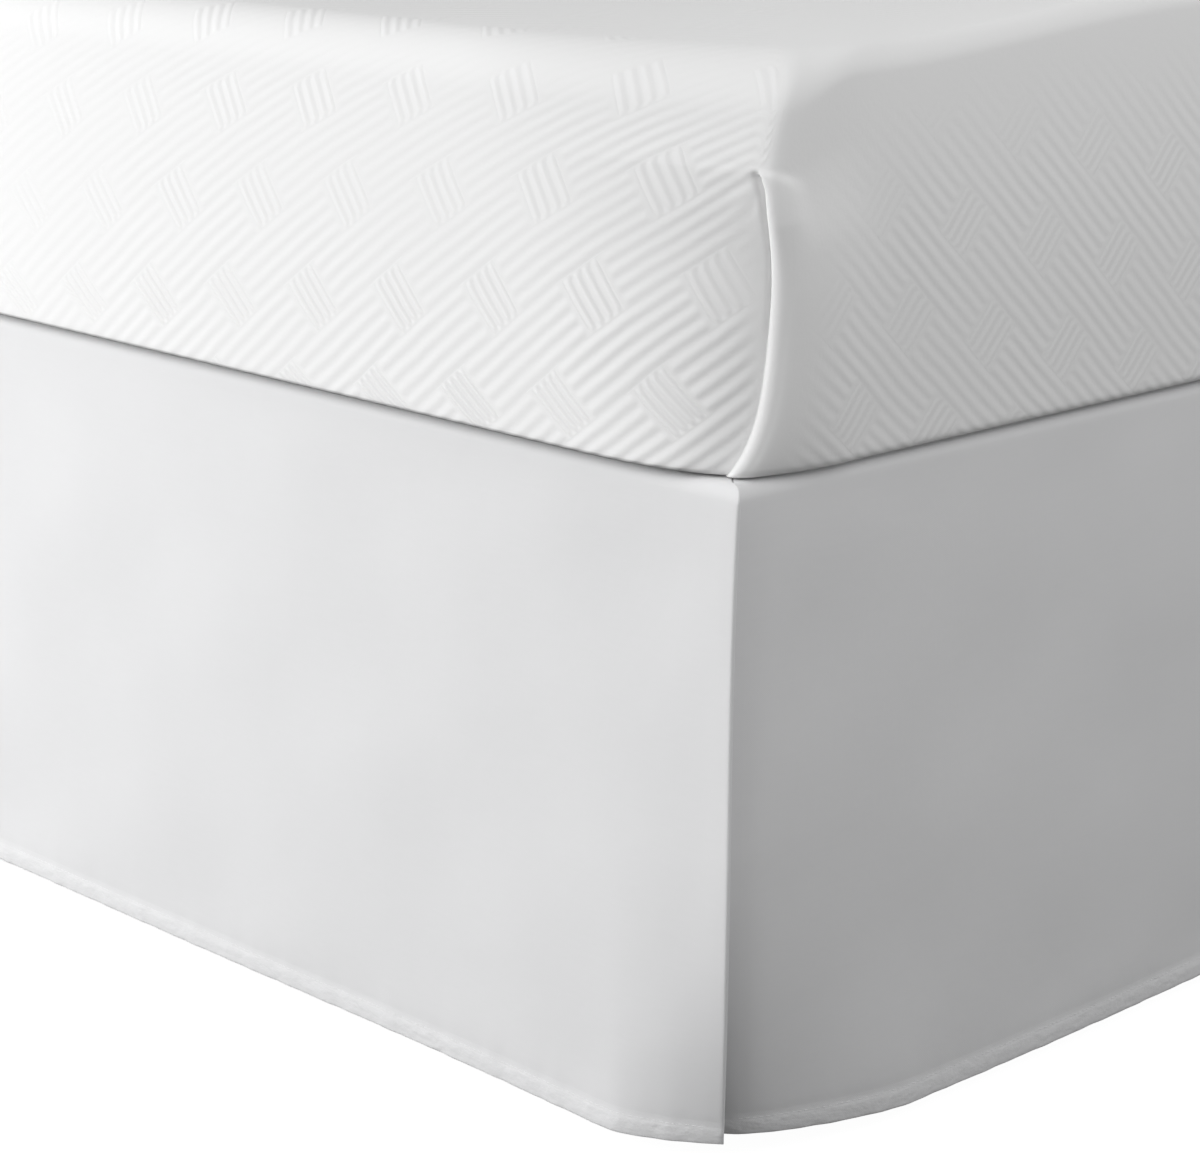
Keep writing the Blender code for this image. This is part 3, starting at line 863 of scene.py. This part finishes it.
class Finish:
    """A material's nodes. Its methods add nodes, and most return the new one's output."""

    def __init__(self, name, colour, roughness, sheen=0.0):
        self.material = bpy.data.materials.new(name)
        self.material.use_nodes = True
        self.tree = self.material.node_tree
        self.shade("Base Color", (*colour, 1.0))
        self.shade("Roughness", roughness)
        self.shade("Sheen Weight", sheen)
        self.shade("Sheen Roughness", 0.5)
        self.normal = None

    def shade(self, socket, value):
        feed(self.tree, self.tree.nodes["Principled BSDF"], {socket: value})

    def node(self, kind, inputs=None, **settings):
        return add_node(self.tree, kind, inputs or {}, **settings).outputs

    def math(self, operation, *values):
        return self.node("ShaderNodeMath", dict(enumerate(values)), operation=operation)[0]

    def times(self, first, second):
        return self.math("MULTIPLY", first, second)

    def cloth_place(self):
        return self.node("ShaderNodeUVMap", uv_map="cloth")["UV"]

    def object_place(self):
        return self.node("ShaderNodeTexCoord")["Object"]

    def split(self, vector):
        return self.node("ShaderNodeSeparateXYZ", {0: vector})

    def share(self, name):
        """One of the shares that the mesh holds for each point."""
        return self.node("ShaderNodeAttribute", attribute_name=name)["Fac"]

    def noise(self, place, scale, detail=2.0, stretch=None):
        if stretch is not None:
            place = self.node("ShaderNodeMapping", {"Vector": place, "Scale": stretch})[0]
        inputs = {"Vector": place, "Scale": scale, "Detail": detail}
        return self.node("ShaderNodeTexNoise", inputs)["Fac"]

    def blend(self, share, first, second):
        inputs = {"Factor": share, 6: first, 7: second}
        return self.node("ShaderNodeMix", inputs, data_type="RGBA")[2]

    def bump(self, height, distance, strength=1.0):
        """Adds relief of that height in metres, on top of what the material has."""
        inputs = {"Strength": strength, "Distance": distance, "Height": height}
        if self.normal is not None:
            inputs["Normal"] = self.normal
        self.normal = self.node("ShaderNodeBump", inputs)[0]
        self.shade("Normal", self.normal)


def tint(colour, share):
    """A colour times share, with its alpha."""
    return (*(c * share for c in colour), 1.0)


def weave(finish, place, pitch):
    """0 to 1 over a plain weave's threads."""
    u, v, _ = finish.split(place)
    turn = 2 * math.pi / pitch
    across = finish.math("SINE", finish.times(u, turn))
    down = finish.math("SINE", finish.times(v, turn))
    return finish.math("MULTIPLY_ADD", finish.times(across, down), 0.5, 0.5)


def skirt_cloth():
    """The skirt's plain weave, a little lighter and more crinkled in its hems."""
    made = Finish("skirt_cloth", SKIRT_WHITE, 0.86, sheen=0.10)
    place = made.object_place()
    cloth = made.cloth_place()
    cloud = made.noise(place, 7.0, 3.0)
    slub = made.noise(cloth, 1.0, 2.0, stretch=(60.0, 420.0, 1.0))
    tone = made.math("MULTIPLY_ADD", slub, 0.25, made.times(cloud, 0.75))
    plain = made.blend(tone, tint(SKIRT_WHITE, 0.965), tint(SKIRT_WHITE, 1.03))
    above, over, share = HEM_TONE
    low = made.math("SUBTRACT", HEM_DEPTH + above, made.split(cloth)[1])
    hem = made.math("MINIMUM", made.math("MAXIMUM", made.math("DIVIDE", low, over), 0.0), 1.0)
    cloth_tone = made.blend(made.times(hem, share), plain, tint(SKIRT_WHITE, 1.05))
    made.shade("Base Color", cloth_tone)
    made.shade("Roughness", made.math("MULTIPLY_ADD", cloud, 0.10, 0.81))
    made.bump(made.noise(place, 26.0, 3.0), 0.0012, 0.35)
    crinkle = made.noise(cloth, 1.0, 3.0, stretch=(110.0, 170.0, 1.0))
    made.bump(made.times(crinkle, hem), 0.0012, 0.7)
    made.bump(weave(made, cloth, WEAVE_PITCH), 0.00008, 0.5)
    return made.material


def rib_shape(finish, value, pitch):
    """Round ribs with soft seams between them, -0.5 in a seam to 0.5 on a rib."""
    wave = finish.math("COSINE", finish.times(value, 2 * math.pi / pitch))
    return finish.times(wave, -0.5)


def closes(finish, share, width):
    """1 inside a run of ribs and 0 at its two ends. share runs 0 to 1 along it."""
    off = finish.math("ABSOLUTE", finish.math("MULTIPLY_ADD", share, 2.0, -1.0))
    inputs = {"Value": finish.math("SUBTRACT", 1.0, off), "From Max": width}
    return finish.node("ShaderNodeMapRange", inputs, interpolation_type="SMOOTHSTEP")["Result"]


def quilted_cover():
    """The mattress's cover, with dark grey painted shade where its skin faces down."""
    made = Finish("mattress_cover", COVER_WHITE, 0.90, sheen=0.08)
    cloth = made.cloth_place()
    place = made.object_place()
    along, across, _ = made.split(cloth)
    wobble = made.math("MULTIPLY_ADD", made.noise(place, 26.0, 1.0), WOBBLE, -WOBBLE / 2)
    across = made.math("ADD", across, wobble)
    along = made.math("ADD", along, wobble)
    bands = made.math("DIVIDE", across, BAND)
    band = made.math("FLOOR", bands)
    in_band = made.math("SUBTRACT", bands, band)
    odd = made.times(band, 0.5)
    share = made.math("FRACT", made.math("ADD", made.math("DIVIDE", along, REPEAT), odd))
    block = BLOCK / REPEAT
    is_block = made.math("LESS_THAN", share, block)
    block_share = made.math("DIVIDE", share, block)
    long_share = made.math("DIVIDE", made.math("SUBTRACT", share, block), 1 - block)
    cross_ribs = rib_shape(made, made.times(share, REPEAT), CROSS_RIB)
    cross_ribs = made.times(cross_ribs, closes(made, in_band, RIBS_CLOSE[0]))
    cross_ribs = made.times(cross_ribs, closes(made, block_share, RIBS_CLOSE[1]))
    long_ribs = rib_shape(made, across, RIB)
    long_ribs = made.times(long_ribs, closes(made, long_share, RIBS_CLOSE[2]))
    long_ribs = made.times(long_ribs, made.share("long_ribs"))
    cross_ribs = made.times(cross_ribs, made.share("cross_ribs"))
    inputs = {"Factor": is_block, 2: long_ribs, 3: cross_ribs}
    ribs = made.node("ShaderNodeMix", inputs, data_type="FLOAT")[0]
    uneven = made.math("ADD", made.noise(place, 17.0, 1.0), 0.5)
    ribs = made.times(ribs, uneven)
    cloud = made.noise(place, 9.0, 2.0)
    # Painted shade: the colour darkens into the seams between ribs, where the bump sinks; the cloud
    # adds tone that varies at random
    tone = made.math("MULTIPLY_ADD", cloud, 0.4, made.math("MULTIPLY_ADD", ribs, 0.5, 0.3))
    seam_shaded_white = made.blend(tone, tint(COVER_WHITE, 0.975), tint(COVER_WHITE, 1.012))
    # Painted shade: where the skin faces down, the cover's colour is blended to dark grey for the
    # shadow under the mattress's edge
    below = made.share("underside")
    made.shade("Base Color", made.blend(below, seam_shaded_white, (*UNDERSIDE_SHADE_GREY, 1.0)))
    made.shade("Roughness", made.math("MULTIPLY_ADD", cloud, 0.08, 0.86))
    made.bump(ribs, RIB_HEIGHT, RIB_STRENGTH)
    made.bump(made.noise(place, 420.0, 2.0), 0.0002, 0.4)
    return made.material


def plain_cloth(name, colour):
    made = Finish(name, colour, 0.92, sheen=0.05)
    place = made.object_place()
    cloud = made.noise(place, 11.0, 3.0)
    made.shade("Base Color", made.blend(cloud, tint(colour, 0.94), tint(colour, 1.04)))
    made.shade("Roughness", made.math("MULTIPLY_ADD", cloud, 0.08, 0.88))
    made.bump(made.noise(place, 700.0, 2.0), 0.0003, 0.4)
    return made.material


def leg_wood():
    made = Finish("leg_wood", LIGHT_WOOD, 0.45)
    place = made.object_place()
    grain = made.noise(place, 1.0, 4.0, stretch=(70.0, 70.0, 5.0))
    fine = made.noise(place, 1.0, 2.0, stretch=(900.0, 900.0, 30.0))
    tone = made.math("MULTIPLY_ADD", fine, 0.3, made.times(grain, 0.8))
    made.shade("Base Color", made.blend(tone, (*DARK_WOOD, 1.0), (*LIGHT_WOOD, 1.0)))
    made.shade("Roughness", made.math("MULTIPLY_ADD", grain, 0.2, 0.36))
    made.bump(fine, 0.0002, 0.3)
    return made.material


def thread_finish():
    made = Finish("thread", THREAD_WHITE, 0.75, sheen=0.1)
    twist = made.noise(made.object_place(), 2500.0, 1.0)
    made.shade("Base Color", made.blend(twist, tint(THREAD_WHITE, 0.9), tint(THREAD_WHITE, 1.05)))
    return made.material


# ---- The bed ----


def deck_run(low, high):
    """Places across the deck, closest together at its edges."""
    edge = RIM / 2
    middle = spaced(low + edge[-1], high - edge[-1], DECK_STEP)
    return joined(low + edge, middle, high - edge[::-1])


def make_deck(finish):
    """The panel on the base between the drops' flanges."""
    low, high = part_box("deck")
    grid_x, grid_y = np.meshgrid(deck_run(low.x, high.x), deck_run(low.y, high.y)[::-1])
    middle = np.stack([grid_x, grid_y, np.full(grid_x.shape, (low.z + high.z) / 2)], -1)
    ways_in = (grid_x - low.x, high.x - grid_x, grid_y - low.y, high.y - grid_y)
    half = round_edge(CLOTH / 2, np.minimum.reduce(ways_in))
    uv = np.stack([grid_x, grid_y], -1)
    return shell("deck_cloth", middle, half, uv, finish)[0]


def turned_leg(name, node, finish, sides=48):
    """A leg turned on a lathe, in the place of a CAD leg."""
    low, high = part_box(node)
    profile = [*LEG_LOWER, *((radius, high.z - down) for radius, down in LEG_UPPER)]
    x, y = (low.x + high.x) / 2, (low.y + high.y) / 2
    turn = 2 * math.pi * np.arange(sides) / sides
    points = [(x, y, profile[0][1])]
    for radius, height in profile:
        points += [(x + radius * math.cos(a), y + radius * math.sin(a), height) for a in turn]
    points.append((x, y, profile[-1][1]))
    faces = [(0, 1 + (k + 1) % sides, 1 + k) for k in range(sides)]
    for lower in range(1, 1 + sides * (len(profile) - 1), sides):
        upper = lower + sides
        for k in range(sides):
            n = (k + 1) % sides
            faces.append((lower + k, lower + n, upper + n, upper + k))
    last = 1 + sides * (len(profile) - 1)
    faces += [(last + k, last + (k + 1) % sides, len(points) - 1) for k in range(sides)]
    made = mesh_object(name, points, faces, finish)
    made.data.set_sharp_from_angle(angle=LEG_SHARP)
    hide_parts(node)


def make_legs(finish):
    for end in ("foot", "middle", "head"):
        for side in ("left", "right"):
            turned_leg(f"{end}_{side}_leg", f"leg_{end}_{side}", finish)


def make_base(finish):
    """The base's fabric cover, with soft edges and a seam near its top and bottom."""
    low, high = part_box("bed_base")
    half_x, half_y = (high.x - low.x) / 2, (high.y - low.y) / 2
    tall = high.z - low.z
    radius, edge, seam_end = BASE_CORNER, BASE_EDGE, BASE_SEAM[-1][0]
    by_seam, between, round_it = BASE_STEPS
    turns = np.radians(np.linspace(0, 90, 8))
    lower = [(edge * (1 - math.cos(a)), edge * (1 - math.sin(a))) for a in turns]
    lower += [(height, 0.0) for height in spaced(edge, SEAM_FROM, by_seam)[1:]]
    lower += BASE_SEAM
    levels = lower + [(h, 0.0) for h in spaced(seam_end, tall - seam_end, between)[1:-1]]
    levels += [(tall - height, inset) for height, inset in reversed(lower)]
    corner = np.radians(np.linspace(0, 90, 10))
    run_x = spaced(0, half_x - radius, round_it)[:-1]
    run_y = spaced(radius - half_y, half_y - radius, round_it)[1:-1]
    rings = []
    for height, inset in levels:
        in_x, in_y = half_x - inset, half_y - inset
        foot = np.stack([run_x, np.full(len(run_x), -in_y)], -1)
        bend_x = in_x - radius + radius * np.sin(corner)
        bend = np.stack([bend_x, radius - in_y - radius * np.cos(corner)], -1)
        side = np.stack([np.full(len(run_y), in_x), run_y], -1)
        front = np.concatenate([foot, bend])
        around = mirrored(np.concatenate([front, side, (front * (1, -1))[::-1]]), (-1, 1))
        rings.append(np.column_stack([around, np.full(len(around), low.z + height)]))
    below = [rings[0] * (size, size, 1) for size in CAP_SIZES]
    above = [rings[-1] * (size, size, 1) for size in CAP_SIZES[::-1]]
    rings = below + rings + above
    rows, around = len(rings), len(rings[0])
    faces = ring_faces(rows, around).tolist() + end_caps(rows, around)
    return mesh_object("base_cover", np.concatenate(rings), faces, finish)


# ---- Light, floor and camera ----


def add_camera():
    back = Vector((math.sin(CAMERA_TURN), -math.cos(CAMERA_TURN), 0))
    right = Vector((math.cos(CAMERA_TURN), math.sin(CAMERA_TURN), 0))
    up = Vector((0, 0, 1))
    corner = Vector((FACE_X + CLOTH, FACE_Y - CLOTH, HEM_ABOVE_FLOOR))
    place = corner + back * CAMERA_BACK + up * CAMERA_UP + right * CAMERA_ACROSS
    view = -back * math.cos(CAMERA_PITCH) - up * math.sin(CAMERA_PITCH)
    top = -back * math.sin(CAMERA_PITCH) + up * math.cos(CAMERA_PITCH)
    data = bpy.data.cameras.new("camera")
    data.sensor_width = SENSOR
    data.lens = SENSOR * FOCAL_PIXELS / PICTURE[0]
    data.clip_end = SEES_TO
    camera = added("camera", data)
    facing = Matrix((right, top, -view)).transposed()
    camera.matrix_world = Matrix.Translation(place) @ facing.to_4x4()
    bpy.context.scene.camera = camera


def soft_light(name, turn, rise, distance, width, height, power):
    """A softbox that faces the foot corner."""
    data = bpy.data.lights.new(name, "AREA")
    data.shape = "RECTANGLE"
    data.size = width
    data.size_y = height
    data.energy = power
    turn, rise = math.radians(turn), math.radians(rise)
    level = Vector((math.sin(turn), -math.cos(turn), 0)) * math.cos(rise)
    away = level + Vector((0, 0, math.sin(rise)))
    light = added(name, data)
    light.location = AIM + away * distance
    light.rotation_mode = "QUATERNION"
    light.rotation_quaternion = (-away).to_track_quat("-Z", "Y")


def brighter_seen(tree, lights, seen):
    """Strength of a light source: what it lights with, and a brighter look to be seen with."""
    is_seen = add_node(tree, "ShaderNodeLightPath", {}).outputs["Is Camera Ray"]
    inputs = {0: is_seen, 1: seen - lights, 2: lights}
    return add_node(tree, "ShaderNodeMath", inputs, operation="MULTIPLY_ADD").outputs[0]


def add_world():
    world = bpy.data.worlds.new("room")
    bpy.context.scene.world = world
    world.use_nodes = True
    tree = world.node_tree
    inputs = {"Color": WHITE, "Strength": brighter_seen(tree, WORLD, WORLD_SEEN)}
    feed(tree, tree.nodes["Background"], inputs)


def add_floor():
    """A pale floor that looks lit from within to the camera alone."""
    size = FLOOR_SIZE
    mesh = bpy.data.meshes.new("floor")
    corners = [(-size, -size, 0), (size, -size, 0), (size, size, 0), (-size, size, 0)]
    mesh.from_pydata(corners, [], [(0, 1, 2, 3)])
    floor = added("floor", mesh)
    pale = bpy.data.materials.new("floor")
    pale.use_nodes = True
    tree = pale.node_tree
    inputs = {
        "Base Color": (FLOOR, FLOOR, FLOOR, 1.0),
        "Roughness": 1.0,
        "Specular IOR Level": 0.0,
        "Emission Color": WHITE,
        "Emission Strength": brighter_seen(tree, 0.0, FLOOR_SEEN),
    }
    feed(tree, tree.nodes["Principled BSDF"], inputs)
    mesh.materials.append(pale)


def main():
    skirt = skirt_cloth()
    thread = thread_finish()
    drops = (
        ("foot_drop_cloth", "drop_foot", foot_middle, 2 * FACE_X, 0.0, False),
        ("right_drop_cloth", "drop_right", lambda *p: side_middle(1, *p), FULL_SIDE, 1.3, False),
        ("left_drop_cloth", "drop_left", lambda *p: side_middle(-1, *p), FULL_SIDE, 2.9, True),
    )
    for name, node, middle, length, phase, flipped in drops:
        cloth, line, out = drop_sheet(name, middle, length, phase, skirt, flipped)
        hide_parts(node)
        sewn = stitches(f"{node}_stitches", line, out, thread)
    deck = make_deck(skirt)
    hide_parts("deck")
    cover = make_mattress(quilted_cover())
    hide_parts("mattress")
    base = make_base(plain_cloth("base_cloth", BASE_GREY))
    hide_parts("bed_base")
    make_legs(leg_wood())
    add_camera()
    add_world()
    add_floor()
    for light in LIGHTS:
        soft_light(*light)
    bpy.context.scene.view_settings.view_transform = "Standard"


main()
